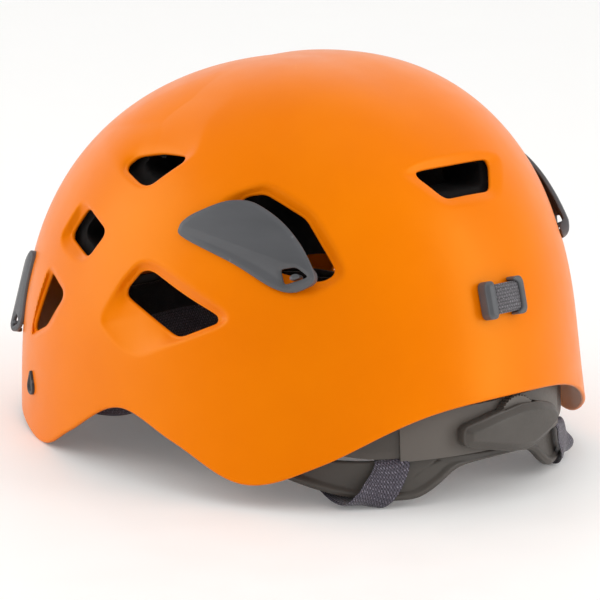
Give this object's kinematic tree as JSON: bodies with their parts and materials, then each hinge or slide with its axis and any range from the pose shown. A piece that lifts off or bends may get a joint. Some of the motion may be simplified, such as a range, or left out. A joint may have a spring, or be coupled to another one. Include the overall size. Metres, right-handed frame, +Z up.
{
  "type": "climbing helmet",
  "caption": "Hard-shell climbing helmet with vents, headlamp clips, foam liner, dial-adjusted nape cradle and buckled chin strap.",
  "frame": {"origin": "middle of the whole helmet in plan, at the level of its lowest point", "axes": "+X to the wearer's left, +Y to the rear, +Z up"},
  "size_m": [0.2208, 0.2717, 0.1853],
  "materials": {
    "shell_plastic": "satin moulded",
    "liner_foam": "moulded bead foam",
    "pad_fabric": "brushed knit over foam",
    "headband_plastic": "moulded",
    "fitting_plastic": "moulded",
    "clip_plastic": "satin moulded",
    "rear_unit_plastic": "satin moulded",
    "gear_plastic": "moulded",
    "spring_steel": "bright",
    "webbing": "ribbed weave",
    "elastic": "ribbed elastic weave"
  },
  "bodies": {
    "shell": {"outer_shell": "shell_plastic", "foam_liner": "liner_foam", "crown_pad": "pad_fabric", "headband": "headband_plastic", "brow_pad": "pad_fabric", "front_anchor_left": "fitting_plastic", "front_anchor_right": "fitting_plastic", "front_webbing_left": "webbing", "front_webbing_right": "webbing", "keeper_anchor": "clip_plastic", "keeper_elastic": "elastic"},
    "cradle": {"rear_band": "rear_unit_plastic", "nape_cradle": "rear_unit_plastic", "dial_cover": "rear_unit_plastic", "dial_axle": "spring_steel", "detent_spring": "spring_steel", "rear_webbing_left": "webbing", "rear_webbing_right": "webbing"},
    "dial": {"dial_wheel": "rear_unit_plastic", "dial_pinion": "gear_plastic"},
    "rack_left": {"rack_left": "gear_plastic"},
    "rack_right": {"rack_right": "gear_plastic"},
    "clip_rear_left": {"clip_rear_left": "clip_plastic"},
    "clip_rear_right": {"clip_rear_right": "clip_plastic"},
    "clip_front_left": {"clip_front_left": "clip_plastic"},
    "clip_front_right": {"clip_front_right": "clip_plastic"},
    "keeper": {"keeper_toggle": "clip_plastic"},
    "chin_strap": {"chin_webbing_left": "webbing", "chin_webbing_right": "webbing", "ear_slide_left": "fitting_plastic", "ear_slide_right": "fitting_plastic", "buckle_socket": "fitting_plastic"},
    "buckle_plug": {"buckle_plug": "fitting_plastic"},
    "buckle_arm_upper": {"buckle_arm_upper": "fitting_plastic"},
    "buckle_arm_lower": {"buckle_arm_lower": "fitting_plastic"}
  },
  "joints": [
    {"name": "cradle_slide", "type": "slide", "parent": "shell", "child": "cradle", "axis": [0, -1, 0], "range_m": [0, 0.028]},
    {"name": "dial_spin", "type": "hinge", "parent": "cradle", "child": "dial", "pos_m": [-0.006, 0.12854, 0.03364], "axis": [0, 1, 0], "range_deg": [0, 322]},
    {"name": "rack_left_travel", "type": "hinge", "parent": "cradle", "child": "rack_left", "pos_m": [0, 0.02915, 0.03364], "axis": [0, 0, 1], "range_deg": [0, 17.3]},
    {"name": "rack_right_travel", "type": "hinge", "parent": "cradle", "child": "rack_right", "pos_m": [0, 0.02915, 0.03364], "axis": [0, 0, 1], "range_deg": [-17.3, 0]},
    {"name": "clip_rear_left_flex", "type": "hinge", "parent": "shell", "child": "clip_rear_left", "pos_m": [0.09222, 0.03719, 0.12297], "axis": [0.3734, -0.1469, -0.9159], "range_deg": [0, 12]},
    {"name": "clip_rear_right_flex", "type": "hinge", "parent": "shell", "child": "clip_rear_right", "pos_m": [-0.09222, 0.03719, 0.12297], "axis": [0.3734, 0.1469, 0.9159], "range_deg": [0, 12]},
    {"name": "clip_front_left_flex", "type": "hinge", "parent": "shell", "child": "clip_front_left", "pos_m": [0.07846, -0.08579, 0.09436], "axis": [-0.6106, -0.6632, 0.4328], "range_deg": [0, 14]},
    {"name": "clip_front_right_flex", "type": "hinge", "parent": "shell", "child": "clip_front_right", "pos_m": [-0.07846, -0.08579, 0.09436], "axis": [-0.6106, 0.6632, -0.4328], "range_deg": [0, 14]},
    {"name": "keeper_pull", "type": "slide", "parent": "shell", "child": "keeper", "axis": [0, 0.9799, 0.1994], "range_m": [0, 0.008]},
    {"name": "chin_strap_swing", "type": "hinge", "parent": "shell", "child": "chin_strap", "pos_m": [0, 0.00715, 0.05344], "axis": [1, 0, 0], "range_deg": [0, 95]},
    {"name": "buckle_release", "type": "slide", "parent": "chin_strap", "child": "buckle_plug", "axis": [-0.7526, -0.6585, 0], "range_m": [0, 0.026]},
    {"name": "buckle_upper_press", "type": "hinge", "parent": "buckle_plug", "child": "buckle_arm_upper", "pos_m": [0.04341, -0.06986, 0.05904], "axis": [-0.6585, 0.7526, 0], "range_deg": [0, 8]},
    {"name": "buckle_lower_press", "type": "hinge", "parent": "buckle_plug", "child": "buckle_arm_lower", "pos_m": [0.04341, -0.06986, 0.04784], "axis": [0.6585, -0.7526, 0], "range_deg": [0, 8]}
  ],
  "couplings": [
    {"joint": "dial_spin", "follows": "cradle_slide", "rad_per_m": 200},
    {"joint": "rack_left_travel", "follows": "cradle_slide", "rad_per_m": 10.695},
    {"joint": "rack_right_travel", "follows": "cradle_slide", "rad_per_m": -10.695}
  ]
}
